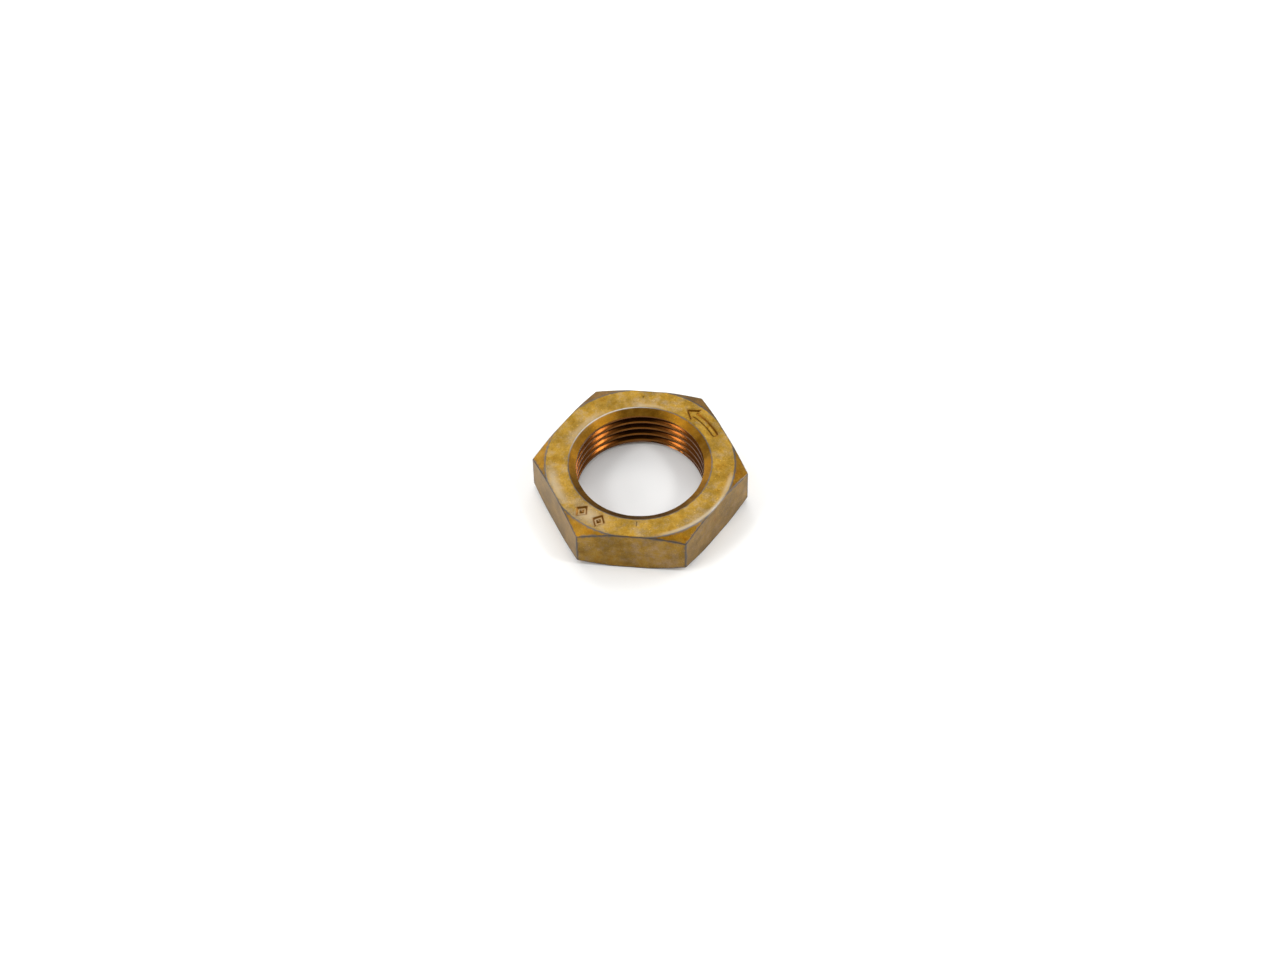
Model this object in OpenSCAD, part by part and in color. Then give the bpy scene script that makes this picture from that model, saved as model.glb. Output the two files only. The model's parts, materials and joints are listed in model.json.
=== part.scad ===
// Thin hexagon lock nut with a left-hand metric fine thread, in steel with yellow zinc.
// It is one forged and tapped piece. Both bearing faces are chamfered at the corners, both ends
// of the bore are countersunk, and the top face has a turning arrow and two plain lozenges
// stamped in it. The origin is on the bore's axis at the bottom face, with a corner on +X.

/* [Hexagon] */
// Width across the flats
across_flats = 30; // [26:0.5:60]
// Height of the nut
nut_h = 8; // [5:0.5:16]
// How much wider than the flats the round edge of each bearing face is
face_over = 0.3; // [0:0.1:1]
// Slope of the corner chamfers, from the bearing face
chamfer_angle = 25; // [15:1:30]

/* [Thread] */
// Outside diameter of the thread
thread_d = 22; // [12:0.5:24]
// Height that the thread climbs in one turn
pitch = 1.5; // [1:0.25:2]
// Angle of the thread's V, from flank to flank
thread_angle = 60; // [50:1:60]
// Place around the bore where the groove's middle meets the bottom face
thread_start = 200; // [0:5:355]
// Straight pieces that one turn of the groove is made of
thread_steps = 48; // [24:4:72]
// How much wider than the thread the mouth of each countersink is
lead_over = 0.9; // [0.2:0.1:1.5]
// Slope of the countersinks, from the bearing face
lead_angle = 30; // [20:1:60]

/* [Stamped marks] */
// Depth of the marks
stamp_depth = 0.25; // [0.1:0.05:0.8]
// Part of the flat band's width that the marks take up
stamp_share = 0.62; // [0.3:0.02:0.8]
// Part of the arrow head's width that its shaft takes up
shaft_share = 0.37; // [0.2:0.01:0.6]
// Place of the arrow's round tail
arrow_tail = 31; // [20:1:45]
// Place of the back of the arrow's head
arrow_neck = 53.3; // [48:0.1:57]
// Place of the arrow's tip
arrow_tip = 60; // [58:0.5:70]
// Places of the two lozenges
lozenge_at = [-128.2, -113.8]; // [-180:0.1:180]
// Width of a lozenge around the band, as a part of its height across it
lozenge_share = 0.83; // [0.5:0.01:1.2]
// Width of the line that a lozenge is drawn with, as a part of its height
line_share = 0.22; // [0.1:0.01:0.25]

/* [Hidden] */
$fn = 120;
CUT = 1;

corner_d = across_flats / cos(30);
face_d = across_flats + face_over;
bore_d = thread_d - pitch;
lead_d = thread_d + lead_over;
lead_drop = (lead_d - bore_d) / 2 * tan(lead_angle);

band_r = (face_d + lead_d) / 4;
stamp_w = (face_d - lead_d) / 2 * stamp_share;
shaft_w = stamp_w * shaft_share;
lozenge_w = stamp_w * lozenge_share;
line_w = stamp_w * line_share;

flank = tan(thread_angle / 2);
pitch_r = thread_d / 2 - 3 / 8 * pitch / (2 * flank);
root_w = pitch / 8;
turns = ceil(nut_h / pitch) + 2;

// Half the groove's width at a radius: the V is half a pitch wide at the pitch radius.
function groove_half(r) = pitch / 4 - (r - pitch_r) * flank;

// The groove's section, from inside the open bore out to the thread's full diameter.
groove = let (inner = bore_d / 2 - pitch / 4, outer = thread_d / 2) [
  [inner, groove_half(inner)],
  [inner, -groove_half(inner)],
  [outer, -root_w / 2],
  [outer, root_w / 2],
];

// A point at a radius and an angle, in the plane.
function polar(r, a) = [r * cos(a), r * sin(a)];

// The space that the thread's groove takes up. It sinks as it goes round anticlockwise,
// which is what makes the thread left-handed.
module thread_groove() {
  last = turns * thread_steps;
  top = (turns - 1) * pitch;
  points = [
    for (i = [0 : last], p = groove)
      let (a = i * 360 / thread_steps)
        concat(polar(p[0], thread_start + a), top + p[1] - pitch * a / 360)
  ];
  sides = [
    for (i = [0 : last - 1], k = [0 : 3])
      let (here = 4 * i, next = here + 4, q = (k + 1) % 4)
        each [[here + k, here + q, next + q], [here + k, next + q, next + k]]
  ];
  ends = [[3, 2, 1, 0], [for (k = [0 : 3]) 4 * last + k]];
  polyhedron(points, concat(sides, ends));
}

// The hexagon bar, with its corners turned down to a cone at both faces.
module chamfered_hexagon() {
  reach = corner_d / 2 + CUT;
  drop = (reach - face_d / 2) * tan(chamfer_angle);
  intersection() {
    cylinder(h = nut_h, d = corner_d, $fn = 6);
    rotate_extrude() polygon([
      [0, 0],
      [face_d / 2, 0],
      [reach, drop],
      [reach, nut_h - drop],
      [face_d / 2, nut_h],
      [0, nut_h],
    ]);
  }
}

// The countersink at the bottom end, carried on a little past the face.
module countersink() {
  past = CUT * tan(lead_angle);
  translate([0, 0, -past])
    cylinder(h = lead_drop + past, d1 = lead_d + 2 * CUT, d2 = bore_d);
}

module tapped_bore() {
  translate([0, 0, -CUT]) cylinder(h = nut_h + 2 * CUT, d = bore_d);
  thread_groove();
  countersink();
  translate([0, 0, nut_h]) mirror([0, 0, 1]) countersink();
}

// The turning arrow, bent along the middle of the flat band.
module arrow() {
  rotate([0, 0, arrow_tail]) {
    rotate_extrude(angle = arrow_neck - arrow_tail + CUT)
      translate([band_r - shaft_w / 2, 0]) square([shaft_w, stamp_depth + CUT]);
    translate([band_r, 0, 0]) cylinder(h = stamp_depth + CUT, d = shaft_w);
  }
  linear_extrude(stamp_depth + CUT) polygon([
    polar(band_r - stamp_w / 2, arrow_neck),
    polar(band_r + stamp_w / 2, arrow_neck),
    polar(band_r, arrow_tip),
  ]);
}

module diamond(w, h) {
  polygon([[w / 2, 0], [0, h / 2], [-w / 2, 0], [0, -h / 2]]);
}

// A lozenge drawn as a line, so its middle stands up to the face.
module lozenge() {
  inside = 1 - 2 * line_w * norm([lozenge_w, stamp_w]) / (lozenge_w * stamp_w);
  linear_extrude(stamp_depth + CUT) difference() {
    diamond(stamp_w, lozenge_w);
    diamond(stamp_w * inside, lozenge_w * inside);
  }
}

module stamped_marks() {
  translate([0, 0, nut_h - stamp_depth]) {
    arrow();
    for (a = lozenge_at) rotate([0, 0, a]) translate([band_r, 0, 0]) lozenge();
  }
}

module hex_nut() {
  color("goldenrod") difference() {
    chamfered_hexagon();
    tapped_bore();
    stamped_marks();
  }
}

hex_nut();
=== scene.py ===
import json
import math

import bmesh
import bpy
import numpy as np
from mathutils import Matrix, Vector


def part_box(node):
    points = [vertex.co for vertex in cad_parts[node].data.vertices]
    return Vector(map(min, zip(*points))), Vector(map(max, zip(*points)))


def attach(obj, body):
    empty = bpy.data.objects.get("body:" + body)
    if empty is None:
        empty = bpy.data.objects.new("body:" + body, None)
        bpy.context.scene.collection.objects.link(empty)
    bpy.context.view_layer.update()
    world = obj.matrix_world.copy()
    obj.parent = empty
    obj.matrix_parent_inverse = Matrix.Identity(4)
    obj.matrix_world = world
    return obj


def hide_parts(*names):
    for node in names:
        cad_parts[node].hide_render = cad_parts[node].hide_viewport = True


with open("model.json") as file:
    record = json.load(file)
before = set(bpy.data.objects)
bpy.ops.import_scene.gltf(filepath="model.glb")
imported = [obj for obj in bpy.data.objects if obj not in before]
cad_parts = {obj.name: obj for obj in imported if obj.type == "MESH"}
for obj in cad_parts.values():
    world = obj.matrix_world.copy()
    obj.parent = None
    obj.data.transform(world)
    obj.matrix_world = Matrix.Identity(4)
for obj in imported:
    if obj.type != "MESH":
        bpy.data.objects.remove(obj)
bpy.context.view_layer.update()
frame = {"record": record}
MM = 0.001


# --- Camera -------------------------------------------------------------------------------
# A long lens looks down on the nut from the front, a little to the right of the axis that
# runs through two of its flats. The nut sits small in the middle of the frame.

CAMERA_TURN = math.radians(6.37)
CAMERA_TILT = math.radians(90 - 51.54)
CAMERA_ROLL = math.radians(-1.115)
CAMERA_OFFSET = Vector((-0.0001, 0.0022, 0.5131))

lens = bpy.data.cameras.new("camera")
lens.lens = 89.4
lens.sensor_width = 36.0
lens.clip_start = 0.01
camera = bpy.data.objects.new("camera", lens)
turned = (
    Matrix.Rotation(CAMERA_TURN, 4, "Z")
    @ Matrix.Rotation(CAMERA_TILT, 4, "X")
    @ Matrix.Rotation(CAMERA_ROLL, 4, "Z")
)
camera.matrix_world = Matrix.Translation(turned @ CAMERA_OFFSET) @ turned
bpy.context.scene.collection.objects.link(camera)
bpy.context.scene.camera = camera


# --- Nut: blank ---------------------------------------------------------------------------
# A thin hexagon forged in steel. Its corners are turned down to a shallow cone at both faces,
# so each bearing face is a disc a little wider than the flats. All edges are slightly rounded.
# Every section of the nut is drawn at an angle round its axis, in millimetres.

low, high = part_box("hex_nut")
FLATS_R = (high.y - low.y) / 2 / MM
HEIGHT = high.z / MM
FACE_R = FLATS_R + 0.15
CHAMFER = math.radians(25)
EDGE_ROUND = 0.2
CORNER_ROUND = 0.25

# Where the marks stand in the face, round the nut, in degrees.
ARROW_TAIL, ARROW_NECK, ARROW_TIP = 31.0, 53.3, 60.0
LOZENGES = (231.8, 246.2)
PIT_AT = 93
SCRATCH_AT = 273

# How far apart the sections are, in degrees, and how near to a corner the even ones stop.
PLAIN_STEP = 1.5
MARK_STEP = 0.3
DENT_STEP = 0.2
CORNER_CLEAR = 1.3


def columns():
    """Angles of the nut's sections, in degrees: close together at the marks and the corners."""
    angles = np.arange(0, 360, PLAIN_STEP)
    for first, last, step in (
        (ARROW_TAIL - 4, ARROW_TIP + 2.5, MARK_STEP),
        (LOZENGES[0] - 7, LOZENGES[1] + 7, MARK_STEP),
        (PIT_AT - 0.9, PIT_AT + 0.9, DENT_STEP),
        (SCRATCH_AT - 0.8, SCRATCH_AT + 0.8, DENT_STEP),
    ):
        angles = angles[(angles < first) | (angles > last)]
        angles = np.concatenate([angles, np.arange(first, last, step)])
    near = np.array([0, 0.12, 0.24, 0.36, 0.5, 0.75, 1.1])
    near = np.unique(np.concatenate([-near, near]))
    for corner in range(0, 360, 60):
        away = np.abs((angles - corner + 180) % 360 - 180)
        angles = np.concatenate([angles[away > CORNER_CLEAR], corner + near])
    return np.sort(angles % 360)


def hexagon_r(angle):
    """How far the flats are from the axis at an angle in degrees, with the corners rounded."""
    fold = np.abs(np.radians((angle + 30) % 60 - 30))
    flat = FLATS_R / np.cos(math.radians(30) - fold)
    centre = (FLATS_R - CORNER_ROUND) / math.cos(math.radians(30))
    arc = centre * np.cos(fold)
    arc += np.sqrt(np.maximum(CORNER_ROUND**2 - (centre * np.sin(fold)) ** 2, 0))
    meets = math.atan2(CORNER_ROUND * 0.5, centre + CORNER_ROUND * math.cos(math.radians(30)))
    return np.where(fold < meets, arc, flat)


def rounding(centre_r, centre_z, radius, first, last, steps):
    """Rings of a rounded edge, from one surface's direction to the next one's, in degrees."""
    return [
        (centre_r + radius * math.cos(turn), centre_z + radius * math.sin(turn))
        for turn in np.radians(np.linspace(first, last, steps))
    ]


def between(start, end, shares):
    """Rings on the straight line between two rings."""
    return [
        (start[0] + (end[0] - start[0]) * share, start[1] + (end[1] - start[1]) * share)
        for share in shares
    ]


def outer_rings(flats):
    """Rings from the middle of the flats up to the top face, at the sections' own radii."""
    tilt = 90 - math.degrees(CHAMFER)
    low_r = flats - EDGE_ROUND
    slope = math.tan(CHAMFER)
    inset = EDGE_ROUND / math.cos(CHAMFER)
    low_z = np.minimum(HEIGHT - EDGE_ROUND, HEIGHT - (low_r - FACE_R) * slope - inset)
    high_r = np.minimum(low_r, FACE_R + (EDGE_ROUND - inset) / slope)
    high_z = np.full_like(high_r, HEIGHT - EDGE_ROUND)
    side = [(flats, np.full_like(flats, HEIGHT / 2))]
    side += [(flats, low_z - drop) for drop in (1.2, 0.6, 0.3, 0.12)]
    lower = rounding(low_r, low_z, EDGE_ROUND, 0, tilt, 5)
    upper = rounding(high_r, high_z, EDGE_ROUND, tilt, 90, 4)
    cone = between(lower[-1], upper[0], (0.08, 0.2, 0.4, 0.6, 0.8, 0.92))
    return side, lower, cone, upper


# --- Nut: tapped bore ---------------------------------------------------------------------
# The hole is drilled, countersunk at both ends, and tapped with a left-hand metric thread: going
# round anticlockwise, seen from the top, the groove sinks. It runs out to nothing just before
# each countersink, so the ends of the bore are full circles.

thread_mount = next(m for m in frame["record"]["mounts"] if m["name"] == "thread")
BORE_R = thread_mount["dims"]["r_mm"]
THREAD_R = 11.0
PITCH = 1.5
THREAD_START = 200.0
RIM_R = 11.45
SINK = math.radians(30)
SINK_DEPTH = (RIM_R - BORE_R) * math.tan(SINK)
RIM_ROUND = 0.12
THREAD_BEND = 0.05
PLAIN_END = 0.02
RUN_OUT = 0.3


def softened(corners, cut):
    """The corners of an open outline, each replaced by three points of a smooth bend."""
    points = [corners[0]]
    for before, corner, after in zip(corners, corners[1:], corners[2:]):
        before, corner, after = Vector(before), Vector(corner), Vector(after)
        start = corner + (before - corner).normalized() * cut
        end = corner + (after - corner).normalized() * cut
        points += [start, (start + 2 * corner + end) / 4, end]
    return [tuple(p) for p in points + [corners[-1]]]


def thread_outline():
    """One turn of the thread as (drop, radius), from the middle of a groove to the next."""
    flank = math.tan(math.radians(30))
    pitch_r = THREAD_R - 3 / 8 * PITCH / (2 * flank)
    mouth = PITCH / 4 - (BORE_R - pitch_r) * flank
    root = PITCH / 16
    corners = [(0, THREAD_R), (root, THREAD_R), (mouth, BORE_R), (PITCH / 2, BORE_R)]
    half = softened(corners, THREAD_BEND)
    middle = tuple((Vector(half[3]) + Vector(half[4])) / 2)
    half.insert(4, middle)
    other = [(PITCH - drop, r) for drop, r in reversed(half[1:-1])]
    return half + other


def sink_r(depth):
    """Radius of a countersink at a depth below its face."""
    return RIM_R - depth / math.tan(SINK)


def thread_lines(angles):
    """(radius, height) of each line of the thread at each section, cut off by the countersinks.

    A line follows the groove round, so it is one turn lower where it gets back to the start.
    """
    outline = thread_outline()
    turns = math.ceil(HEIGHT / PITCH) + 3
    first = HEIGHT + 2 * PITCH
    first += (PITCH * THREAD_START / 360 - first) % PITCH
    drops = np.array([turn * PITCH + drop for turn in range(turns) for drop, r in outline])
    radii = np.array([r for turn in range(turns) for drop, r in outline])
    r = np.repeat(radii[:, None], len(angles), axis=1)
    z = first - drops[:, None] - PITCH * angles[None, :] / 360
    level = np.minimum(z, HEIGHT - z)
    depth_share = np.clip((level - (SINK_DEPTH + PLAIN_END)) / RUN_OUT, 0, 1)
    r = BORE_R + (r - BORE_R) * depth_share
    for column in range(len(angles)):
        middle = int(np.argmin(np.abs(z[:, column] - HEIGHT / 2)))
        for step, depth in ((-1, HEIGHT - z[:, column]), (1, z[:, column].copy())):
            stands = r[:, column] - sink_r(depth)
            line = middle
            while stands[line + step] > 0:
                line += step
            share = stands[line] / (stands[line] - stands[line + step])
            meet_r = r[line, column] + (r[line + step, column] - r[line, column]) * share
            meet_z = z[line, column] + (z[line + step, column] - z[line, column]) * share
            gone = slice(None, line) if step < 0 else slice(line + 1, None)
            r[gone, column], z[gone, column] = meet_r, meet_z
    return r, z, len(outline)


# --- Nut: stamped marks -------------------------------------------------------------------
# Before plating, a punch leaves a bent arrow and two lozenges in the top face. The metal that
# it pushes aside stands up as a low lip round each mark.

BAND_R = (FACE_R + RIM_R) / 2
STAMP_W = (FACE_R - RIM_R) * 0.62
SHAFT_W = STAMP_W * 0.37
LOZENGE_W = STAMP_W * 0.83
LINE_W = STAMP_W * 0.22
STAMP_DEPTH = 0.25
STAMP_WALL = 0.26
LIP = 0.025
LIP_AT = 0.2
LIP_WIDE = 0.12
DENT_DEPTH = 0.08
DENT_WIDE = 0.12
PIT_R = 13.74
SCRATCH_FROM, SCRATCH_TO = 11.95, 12.7


def polar(radius, degrees):
    """A point at a radius and an angle."""
    return np.array([math.cos(math.radians(degrees)), math.sin(math.radians(degrees))]) * radius


def inside_corners(x, y, corners):
    """Signed distance to a polygon with bulging corners, less than 0 inside it."""
    gap = np.full_like(x, -1e9)
    for (x0, y0), (x1, y1) in zip(corners, np.roll(corners, -1, axis=0)):
        length = math.hypot(x1 - x0, y1 - y0)
        gap = np.maximum(gap, ((x - x0) * (y1 - y0) - (y - y0) * (x1 - x0)) / length)
    return gap


def arrow_gap(x, y):
    """Signed distance to the arrow's outline."""
    along = np.clip(np.degrees(np.arctan2(y, x)), ARROW_TAIL, ARROW_NECK + 1)
    shaft_x = BAND_R * np.cos(np.radians(along))
    shaft_y = BAND_R * np.sin(np.radians(along))
    shaft = np.hypot(x - shaft_x, y - shaft_y) - SHAFT_W / 2
    head = np.array([
        polar(BAND_R - STAMP_W / 2, ARROW_NECK),
        polar(BAND_R + STAMP_W / 2, ARROW_NECK),
        polar(BAND_R, ARROW_TIP),
    ])
    return np.minimum(shaft, inside_corners(x, y, head))


def lozenge_gap(x, y, angle):
    """Signed distance to the line that a lozenge is drawn with."""
    out, across = polar(1, angle), polar(1, angle + 90)
    u = x * out[0] + y * out[1] - BAND_R
    v = x * across[0] + y * across[1]
    tall, wide = STAMP_W / 2, LOZENGE_W / 2
    corners = np.array([(tall, 0), (0, wide), (-tall, 0), (0, -wide)])
    outside = inside_corners(u, v, corners)
    return np.maximum(outside, -outside - LINE_W)


def mark_gap(r, angles):
    """Signed distance to the nearest stamped mark's outline."""
    x, y = r * np.cos(np.radians(angles)), r * np.sin(np.radians(angles))
    gap = arrow_gap(x, y)
    for angle in LOZENGES:
        gap = np.minimum(gap, lozenge_gap(x, y, angle))
    return gap


def dent_gap(r, angles):
    """Distance to a small pit at the back, or twice that to the thinner scratch at the front."""
    x, y = r * np.cos(np.radians(angles)), r * np.sin(np.radians(angles))
    pit_x, pit_y = polar(PIT_R, PIT_AT)
    along = np.clip(r, SCRATCH_FROM, SCRATCH_TO)
    scratch_x = along * math.cos(math.radians(SCRATCH_AT))
    scratch_y = along * math.sin(math.radians(SCRATCH_AT))
    return np.minimum(np.hypot(x - pit_x, y - pit_y), 2 * np.hypot(x - scratch_x, y - scratch_y))


def wear_and_highlight_share(r, angles):
    """How far the top face's yellow film turns pale in a few patches: partly wear, partly painted
    highlights.

    A patch lies around an angle and reaches so many degrees either way. Across the face it
    has a middle radius and a half width. The first one, near the face's outer edge at the front
    right, and the last one, which follows the countersink's rim, are painted highlights.
    """
    wear_and_highlight = np.zeros_like(r + angles)
    for around, reach, middle, wide, share in (
        (316, 27, 14.82, 0.26, 1.0),
        (204, 15, 14.2, 0.8, 0.6),
        (240, 11, 13.3, 1.2, 0.6),
        (347, 9, 14.7, 0.35, 0.6),
        (88, 12, 11.9, 0.35, 0.5),
        (145, 20, 12.0, 0.5, 0.4),
        (128, 42, 11.5, 0.1, 1.0),
    ):
        turn = (angles - around + 180) % 360 - 180
        patch = np.exp(-((turn / reach) ** 4) - ((r - middle) / wide) ** 2)
        wear_and_highlight = np.maximum(wear_and_highlight, share * patch)
    return wear_and_highlight


def stamp_height(r, angles):
    """How far the punch and the dents moved the top face up or down."""
    gap = mark_gap(r, angles)
    sunk = np.clip(0.5 - gap / STAMP_WALL, 0, 1)
    sunk = sunk * sunk * (3 - 2 * sunk)
    lip = np.exp(-(((gap - LIP_AT) / LIP_WIDE) ** 2))
    dent = np.exp(-((dent_gap(r, angles) / DENT_WIDE) ** 2))
    return LIP * (lip - 1) - STAMP_DEPTH * sunk - DENT_DEPTH * dent


# --- Nut: one closed skin -----------------------------------------------------------------
# The blank, the bore and the marks are one piece of metal, so their rings are joined to one
# closed mesh. Each face keeps which surface it is of, because the plating looks different on
# rolled flats, turned faces and cut threads, and because the countersinks and the thread
# carry painted shade.

FLATS, CHAMFERS, FACES, SINKS, THREAD = range(5)
FINE_FROM = 11.75
FINE_PAST_MARKS = 0.4
FINE_STEP = 0.066
OUTLINE_WIDE = 0.16
DIRT_WIDE = 0.13
BORE_MARGIN = 0.01
SHARP_BEND = math.radians(38)
SAME_POINT = 0.0004


def section_rings(angles, top_meet, bottom_meet):
    """Rings round the nut, each with the surface that lies after it, from thread to thread."""
    flats = hexagon_r(angles)
    side, lower, cone, upper = outer_rings(flats)
    rim = rounding(
        RIM_R + RIM_ROUND * (1 / math.cos(SINK) - 1) / math.tan(SINK),
        HEIGHT - RIM_ROUND,
        RIM_ROUND,
        90,
        90 + math.degrees(SINK),
        4,
    )
    rim = [(np.full_like(flats, r), np.full_like(flats, z)) for r, z in rim]
    marked = np.arange(FINE_FROM, BAND_R + STAMP_W / 2 + FINE_PAST_MARKS, FINE_STEP)[::-1]
    face = between(upper[-1], (np.full_like(flats, marked[0]), upper[-1][1]), (0.2, 0.5))
    face += [(np.full_like(flats, r), HEIGHT + stamp_height(r, angles)) for r in marked]
    face += between(face[-1], rim[0], (0.5, 0.8))
    sink = between(rim[-1], top_meet, (0.1, 0.25, 0.45, 0.7))

    half = [(ring, FLATS) for ring in side + lower[:3]]
    half += [(ring, CHAMFERS) for ring in lower[3:] + cone + upper[:2]]
    half += [(ring, FACES) for ring in upper[2:]]
    top = half[1:] + [(ring, FACES) for ring in face + rim[:2]]
    top += [(ring, SINKS) for ring in rim[2:] + sink + [top_meet]]

    plain = between(upper[-1], rim[0], (0.05, 0.15, 0.3, 0.5, 0.7, 0.85, 0.95))
    under = between(rim[-1], (bottom_meet[0], HEIGHT - bottom_meet[1]), (0.1, 0.25, 0.45, 0.7))
    bottom = half + [(ring, FACES) for ring in plain + rim[:2]]
    bottom += [(ring, SINKS) for ring in rim[2:] + under]
    bottom = [((r, HEIGHT - z), kind) for (r, z), kind in bottom]
    bottom.append((bottom_meet, SINKS))
    kinds = [kind for ring, kind in bottom[:-1]][::-1] + [FLATS]
    rings = [ring for ring, kind in bottom[::-1]] + [ring for ring, kind in top]
    return rings, kinds + [kind for ring, kind in top[:-1]]


def edge_gap(angles, r, z):
    """How far each point is from the nearest outer edge or countersink rim, in millimetres."""
    flats = hexagon_r(angles)
    fold = np.abs(np.radians(angles % 60 - 30))
    corner = FLATS_R * (math.tan(math.radians(30)) - np.tan(fold))
    corner = np.hypot(np.maximum(corner, 0), np.maximum(flats - r, 0))
    level = np.minimum(z, HEIGHT - z)
    drop = np.maximum(flats - FACE_R, 0) * math.tan(CHAMFER)
    side = np.hypot(flats - r, level - drop)
    ends = np.minimum(np.hypot(r - np.minimum(flats, FACE_R), level), np.hypot(r - RIM_R, level))
    return np.minimum(np.minimum(corner, side), ends)


def film_marks(angles, r, z):
    """What the plating needs of each point: how near an edge it is, its marks, painted shade and
    highlights.
    """
    on_top = z > HEIGHT - 2 * STAMP_DEPTH
    # Along each stamped mark's outline, over its walls, the plating paints a darker brown:
    # painted shade in the recess.
    outline = np.exp(-((mark_gap(r, angles) / OUTLINE_WIDE) ** 2))
    dirt = np.exp(-((dent_gap(r, angles) / DIRT_WIDE) ** 2))
    # How deep into the thread's groove a point lies: the plating paints the groove dark with it,
    # as painted shade.
    in_bore = r < THREAD_R + BORE_MARGIN
    past_sink = np.minimum(z, HEIGHT - z) > (RIM_R - r) * math.tan(SINK) + BORE_MARGIN
    cut = np.clip((r - BORE_R) / (THREAD_R - BORE_R), 0, 1) * in_bore * past_sink
    return {
        "edge_gap": edge_gap(angles, r, z),
        "outline": outline * on_top,
        "dirt": dirt * on_top,
        "cut": cut,
        # Pale patches of the top face: wear, and painted highlights.
        "wear_and_highlight": wear_and_highlight_share(r, angles) * on_top,
    }


def nut_mesh(name):
    """The whole nut as a mesh, with its surfaces as material numbers."""
    angles = columns()
    count = len(angles)
    line_r, line_z, turn = thread_lines(angles)
    rings, kinds = section_rings(angles, (line_r[0], line_z[0]), (line_r[-1], line_z[-1]))
    r = np.array([ring[0] for ring in rings] + list(line_r))
    z = np.array([ring[1] for ring in rings] + list(line_z))
    x, y = r * np.cos(np.radians(angles)), r * np.sin(np.radians(angles))
    points = np.stack([x, y, z], axis=2).reshape(-1, 3)

    faces, surfaces = [], []
    for ring in range(len(rings) - 1):
        for column in range(count):
            here, there = ring * count + column, ring * count + (column + 1) % count
            faces.append((here, there, there + count, here + count))
            surfaces.append(kinds[ring])
    first = len(rings) * count
    lines = len(line_r)
    for line in range(lines - 1):
        for column in range(count):
            here = first + line * count + column
            there = here + 1
            if column == count - 1:
                if line + turn + 1 >= lines:
                    continue
                there = first + (line + turn) * count
            faces.append((here, here + count, there))
            faces.append((here + count, there + count, there))
            surfaces += [THREAD, THREAD]

    mesh = bpy.data.meshes.new(name)
    mesh.from_pydata((points * MM).tolist(), [], faces)
    mesh.polygons.foreach_set("material_index", surfaces)
    for attribute, values in film_marks(angles, r, z).items():
        stored = mesh.attributes.new(attribute, "FLOAT", "POINT")
        stored.data.foreach_set("value", values.ravel())
    shape = bmesh.new()
    shape.from_mesh(mesh)
    bmesh.ops.remove_doubles(shape, verts=shape.verts, dist=SAME_POINT * MM)
    bmesh.ops.recalc_face_normals(shape, faces=shape.faces)
    for face in shape.faces:
        face.smooth = True
    shape.to_mesh(mesh)
    shape.free()
    mesh.set_sharp_from_angle(angle=SHARP_BEND)
    return mesh


# --- Nut: plating -------------------------------------------------------------------------
# The steel is zinc plated and passivated yellow. The film is blotchy and finely grained: golden
# with olive and pale clouds, browner on the flats, and rubbed to grey zinc along the edges.

# Pale film of the patches on the top face: partly wear, partly painted highlight.
PALE_WEAR_AND_HIGHLIGHT = (0.37, 0.3, 0.2, 1)
# Painted shade in the thread's groove.
GROOVE_SHADE = (0.11, 0.034, 0.006, 1)
# Painted shade on the walls of the stamped marks.
STAMP_WALL_SHADE = (0.19, 0.075, 0.007, 1)
DENT_DIRT = (0.05, 0.03, 0.015, 1)
GREY_ZINC = (0.09, 0.08, 0.072, 1)
# Bright zinc on the rubbed edges in those patches: partly bare zinc, partly a painted highlight
# on the countersink's rim and the face's edge.
BRIGHT_ZINC_AND_HIGHLIGHT = (0.5, 0.47, 0.43, 1)


def add(tree, kind, links=(), **values):
    """A node with its settings, its socket values and what is linked to its sockets."""
    node = tree.nodes.new(kind)
    for name, value in values.items():
        setattr(node, name, value)
    for socket, source in dict(links).items():
        if isinstance(source, bpy.types.NodeSocket):
            tree.links.new(source, node.inputs[socket])
        else:
            node.inputs[socket].default_value = source
    return node


def ramp(tree, source, low, high, start=0.0, end=1.0):
    """A value eased from start to end while the source goes from low to high."""
    links = {0: source, 1: low, 2: high, 3: start, 4: end}
    return add(tree, "ShaderNodeMapRange", links, interpolation_type="SMOOTHSTEP").outputs[0]


def blend(tree, share, first, second):
    """Two colours mixed: all first at share 0, all second at share 1."""
    links = {0: share, 6: first, 7: second}
    return add(tree, "ShaderNodeMix", links, data_type="RGBA").outputs[2]


def clouds(tree, place, scale, detail=2.0, rough=0.5):
    """Noise with features of about one over the scale, in metres."""
    links = {"Vector": place, "Scale": scale, "Detail": detail, "Roughness": rough}
    return add(tree, "ShaderNodeTexNoise", links).outputs[0]


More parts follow.
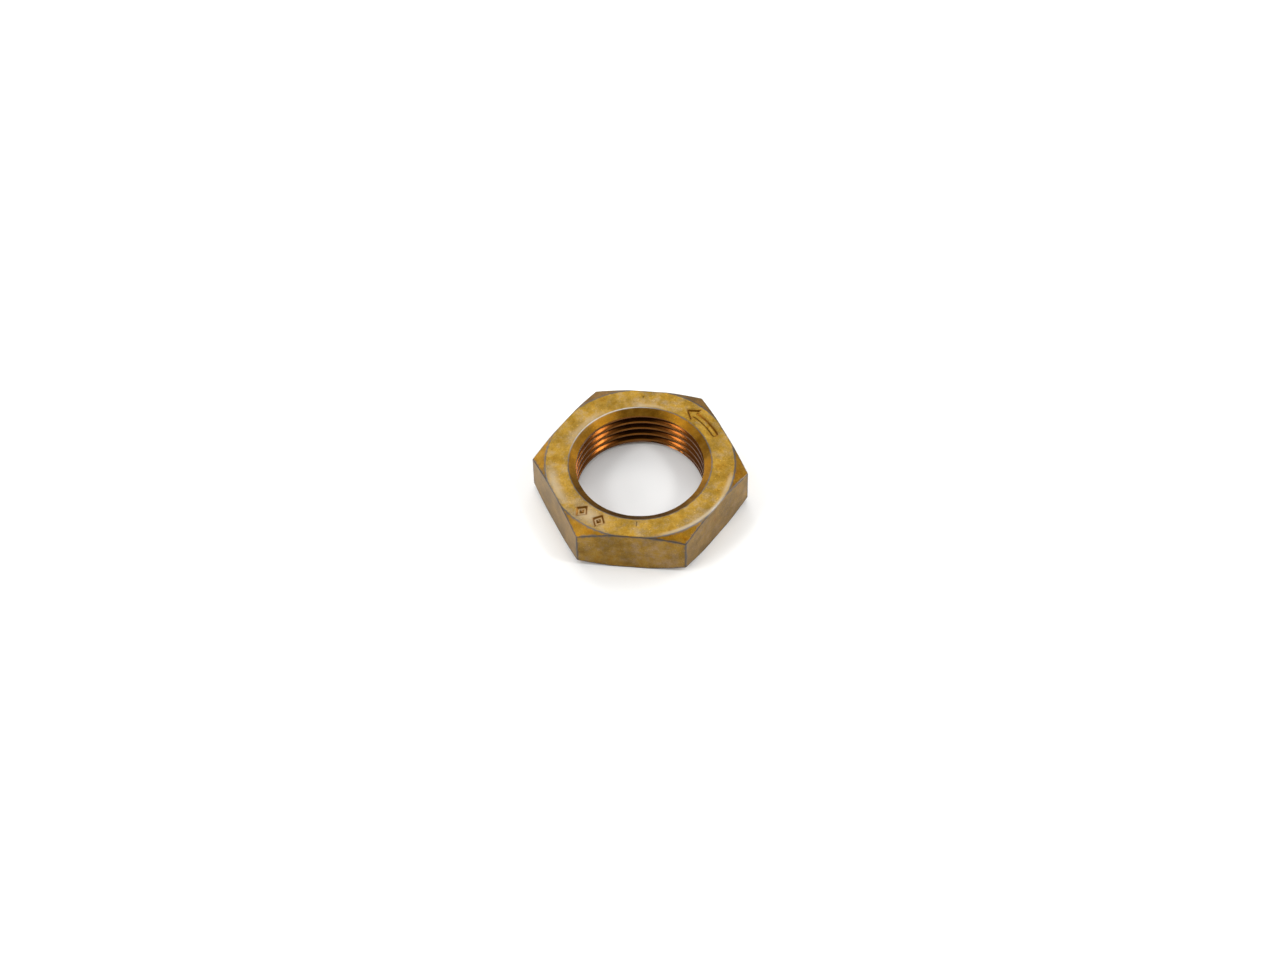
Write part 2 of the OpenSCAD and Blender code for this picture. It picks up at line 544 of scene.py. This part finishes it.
def film_group():
    """Colour, roughness and normal of the yellow film, from its golden, pale and deep colours."""
    group = bpy.data.node_groups.new("yellow_film", "ShaderNodeTree")
    for name in ("Golden", "Pale", "Deep"):
        group.interface.new_socket(name, in_out="INPUT", socket_type="NodeSocketColor")
    for name in ("Pale Share", "Grain"):
        group.interface.new_socket(name, in_out="INPUT", socket_type="NodeSocketFloat")
    group.interface.new_socket("Color", in_out="OUTPUT", socket_type="NodeSocketColor")
    group.interface.new_socket("Roughness", in_out="OUTPUT", socket_type="NodeSocketFloat")
    group.interface.new_socket("Normal", in_out="OUTPUT", socket_type="NodeSocketVector")
    given = add(group, "NodeGroupInput").outputs
    place = add(group, "ShaderNodeTexCoord").outputs["Object"]

    big = clouds(group, place, 170, 2)
    small = clouds(group, place, 800, 6, 0.66)
    grain = clouds(group, place, 5200, 2, 0.6)
    links = {0: big, 1: 0.45, 2: small}
    mixed = add(group, "ShaderNodeMath", links, operation="MULTIPLY_ADD").outputs[0]
    pale = ramp(group, mixed, 0.66, 0.95)
    pale = add(group, "ShaderNodeMath", {0: pale, 1: given["Pale Share"]}, operation="MULTIPLY")
    deep = ramp(group, mixed, 0.7, 0.5)
    colour = blend(group, pale.outputs[0], given["Golden"], given["Pale"])
    colour = blend(group, deep, colour, given["Deep"])

    cells = add(group, "ShaderNodeTexVoronoi", {"Vector": place, "Scale": 6500})
    spark = ramp(group, cells.outputs["Color"], 0.8, 1.0, 0.0, 0.6)
    shade = ramp(group, clouds(group, place, 380, 4, 0.6), 0.3, 0.7, -0.24, 0.2)
    speck = ramp(group, grain, 0.25, 0.75, -0.16, 0.16)
    shade = add(group, "ShaderNodeMath", {0: shade, 1: speck}, operation="ADD").outputs[0]
    shade = add(group, "ShaderNodeMath", {0: shade, 1: spark}, operation="ADD").outputs[0]
    links = {0: shade, 1: given["Grain"], 2: 1.0}
    shade = add(group, "ShaderNodeMath", links, operation="MULTIPLY_ADD").outputs[0]
    colour = add(group, "ShaderNodeVectorMath", {0: colour, 1: shade}, operation="MULTIPLY")

    rough = ramp(group, mixed, 0.55, 0.95, 0.3, 0.38)
    dents = add(group, "ShaderNodeMath", {0: grain, 1: small}, operation="ADD").outputs[0]
    links = {"Strength": given["Grain"], "Distance": 0.00001, "Height": dents}
    bump = add(group, "ShaderNodeBump", links)
    links = {"Color": colour.outputs[0], "Roughness": rough, "Normal": bump.outputs[0]}
    add(group, "NodeGroupOutput", links)
    return group


def rub_group():
    """How far the film is rubbed off: 1 on an edge, 0 away from it."""
    group = bpy.data.node_groups.new("rubbed_edges", "ShaderNodeTree")
    group.interface.new_socket("Width", in_out="INPUT", socket_type="NodeSocketFloat")
    group.interface.new_socket("Rubbed", in_out="OUTPUT", socket_type="NodeSocketFloat")
    given = add(group, "NodeGroupInput").outputs
    place = add(group, "ShaderNodeTexCoord").outputs["Object"]
    gap = add(group, "ShaderNodeAttribute", attribute_name="edge_gap").outputs["Fac"]
    patchy = ramp(group, clouds(group, place, 1400, 3), 0.3, 0.7, 0.4, 1.3)
    reach = add(group, "ShaderNodeMath", {0: patchy, 1: given["Width"]}, operation="MULTIPLY")
    rubbed = ramp(group, gap, reach.outputs[0], 0.0)
    add(group, "NodeGroupOutput", {"Rubbed": rubbed})
    return group


film, rub = film_group(), rub_group()


def plating(name, golden, pale, deep, pale_share, grain, rubbed_width, extra_rough):
    """The yellow film on one kind of surface, with grey zinc where it is rubbed off."""
    material = bpy.data.materials.new(name)
    material.use_nodes = True
    tree = material.node_tree
    shader = tree.nodes["Principled BSDF"]
    shader.inputs["Metallic"].default_value = 1.0
    links = {"Golden": (*golden, 1), "Pale": (*pale, 1), "Deep": (*deep, 1)}
    links |= {"Pale Share": pale_share, "Grain": grain}
    coat = tree.nodes.new("ShaderNodeGroup")
    coat.node_tree = film
    for socket, value in links.items():
        coat.inputs[socket].default_value = value
    edges = tree.nodes.new("ShaderNodeGroup")
    edges.node_tree = rub
    edges.inputs["Width"].default_value = rubbed_width
    # Off its crests the thread is painted nearly black-brown: painted shade in the groove.
    cut = add(tree, "ShaderNodeAttribute", attribute_name="cut").outputs["Fac"]
    cut = ramp(tree, cut, 0.0, 0.08)
    # Pale patches of the top face: partly wear, partly painted highlights along the face's edge
    # and the countersink's rim.
    wear_and_highlight = add(tree, "ShaderNodeAttribute", attribute_name="wear_and_highlight").outputs["Fac"]
    # Darker brown on the walls of the stamped marks: painted shade in the recess.
    outline = add(tree, "ShaderNodeAttribute", attribute_name="outline").outputs["Fac"]
    dirt = add(tree, "ShaderNodeAttribute", attribute_name="dirt").outputs["Fac"]
    colour = blend(tree, wear_and_highlight, coat.outputs["Color"], PALE_WEAR_AND_HIGHLIGHT)
    colour = blend(tree, cut, colour, GROOVE_SHADE)
    colour = blend(tree, outline, colour, STAMP_WALL_SHADE)
    colour = blend(tree, dirt, colour, DENT_DIRT)
    # Rubbed edges are grey zinc, painted bright in the pale patches as a highlight.
    bare_zinc_and_highlight = blend(tree, wear_and_highlight, GREY_ZINC, BRIGHT_ZINC_AND_HIGHLIGHT)
    colour = blend(tree, edges.outputs[0], colour, bare_zinc_and_highlight)
    tree.links.new(colour, shader.inputs["Base Color"])
    rough = add(tree, "ShaderNodeMath", {0: coat.outputs["Roughness"], 1: extra_rough})
    tree.links.new(rough.outputs[0], shader.inputs["Roughness"])
    tree.links.new(coat.outputs["Normal"], shader.inputs["Normal"])
    return material


# In the order of the surfaces' numbers.
PLATINGS = (
    plating(
        "zinc_flats",
        golden=(0.25, 0.143, 0.022),
        pale=(0.27, 0.175, 0.085),
        deep=(0.23, 0.108, 0.01),
        pale_share=0.9,
        grain=1.0,
        rubbed_width=0.52,
        extra_rough=0.08,
    ),
    plating(
        "zinc_chamfers",
        golden=(0.21, 0.102, 0.008),
        pale=(0.23, 0.13, 0.024),
        deep=(0.18, 0.07, 0.004),
        pale_share=0.7,
        grain=1.0,
        rubbed_width=0.42,
        extra_rough=0.06,
    ),
    plating(
        "zinc_faces",
        golden=(0.262, 0.152, 0.021),
        pale=(0.276, 0.19, 0.084),
        deep=(0.2, 0.1, 0.01),
        pale_share=1.0,
        grain=1.0,
        rubbed_width=0.24,
        extra_rough=0.04,
    ),
    # The countersinks' film is painted darker and deeper orange than the faces': painted shade in
    # the hollow.
    plating(
        "zinc_sinks",
        golden=(0.18, 0.08, 0.006),
        pale=(0.2, 0.102, 0.014),
        deep=(0.15, 0.06, 0.003),
        pale_share=0.8,
        grain=1.0,
        rubbed_width=0.16,
        extra_rough=0.02,
    ),
    # The thread's film is painted darker and deeper orange than the faces': partly its own cut
    # film, partly painted shade in the bore.
    plating(
        "zinc_thread",
        golden=(0.19, 0.07, 0.009),
        pale=(0.2, 0.076, 0.012),
        deep=(0.16, 0.055, 0.006),
        pale_share=0.5,
        grain=0.2,
        rubbed_width=0.0,
        extra_rough=-0.14,
    ),
)

nut = bpy.data.objects.new("nut", nut_mesh("nut"))
for material in PLATINGS:
    nut.data.materials.append(material)
bpy.context.scene.collection.objects.link(nut)
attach(nut, "root")
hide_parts("hex_nut")


# --- Floor and lights ---------------------------------------------------------------------
# The nut lies on white paper. Six softboxes stand round it in three pairs and a seventh hangs
# above it. A black card hangs in front of it, over the camera, so that the smooth inside of the
# bore mirrors something dark.


def sheet_mesh(name, wide, deep, stuff, colour, rough):
    """A flat sheet of a matt stuff, in metres."""
    x, y = wide / 2, deep / 2
    mesh = bpy.data.meshes.new(name)
    mesh.from_pydata([(-x, -y, 0), (x, -y, 0), (x, y, 0), (-x, y, 0)], [], [(0, 1, 2, 3)])
    material = bpy.data.materials.new(stuff)
    material.use_nodes = True
    shader = material.node_tree.nodes["Principled BSDF"]
    shader.inputs["Base Color"].default_value = (*colour, 1)
    shader.inputs["Roughness"].default_value = rough
    mesh.materials.append(material)
    return mesh


paper = sheet_mesh("floor", 6, 6, "white_paper", (0.93, 0.93, 0.92), 0.9)
floor = bpy.data.objects.new("floor", paper)
bpy.context.scene.collection.objects.link(floor)

world = bpy.data.worlds.new("studio")
bpy.context.scene.world = world
world.use_nodes = True
world.node_tree.nodes["Background"].inputs["Color"].default_value = (1, 1, 1, 1)
world.node_tree.nodes["Background"].inputs["Strength"].default_value = 0.6


def softbox(name, around, up, wide, tall, power):
    """A lamp a metre from the nut, at an angle round it from the camera's right and one up.

    Its width and height are in metres and its power in watts.
    """
    around, up = math.radians(around) + CAMERA_TURN, math.radians(up)
    light = bpy.data.lights.new(name, "AREA")
    light.shape = "RECTANGLE"
    light.size, light.size_y = wide, tall
    light.energy = power
    lamp = bpy.data.objects.new(name, light)
    level = math.cos(up)
    lamp.location = (math.cos(around) * level, math.sin(around) * level, math.sin(up))
    lamp.rotation_euler = lamp.location.to_track_quat("Z", "Y").to_euler()
    bpy.context.scene.collection.objects.link(lamp)


softbox("right_low_softbox", 22, 17, 0.6, 0.3, 5.5)
softbox("right_softbox", -18, 55, 0.16, 0.2, 1.9)
softbox("left_low_softbox", 210, 30, 0.3, 0.3, 2.8)
softbox("left_softbox", 192, 55, 0.16, 0.22, 1.6)
softbox("back_low_softbox", 118, 28, 0.6, 0.3, 2.8)
softbox("back_softbox", 85, 56, 0.5, 0.4, 1.4)
softbox("top_softbox", 90, 87, 0.3, 0.3, 1.2)

velvet = sheet_mesh("black_hood", 0.56, 0.4, "black_velvet", (0.01, 0.01, 0.01), 1.0)
hood = bpy.data.objects.new("black_hood", velvet)
hood.location = (0.04, -0.33, 0.72)
hood.rotation_euler = hood.location.to_track_quat("Z", "Y").to_euler()
bpy.context.scene.collection.objects.link(hood)

bpy.context.scene.view_settings.view_transform = "Standard"
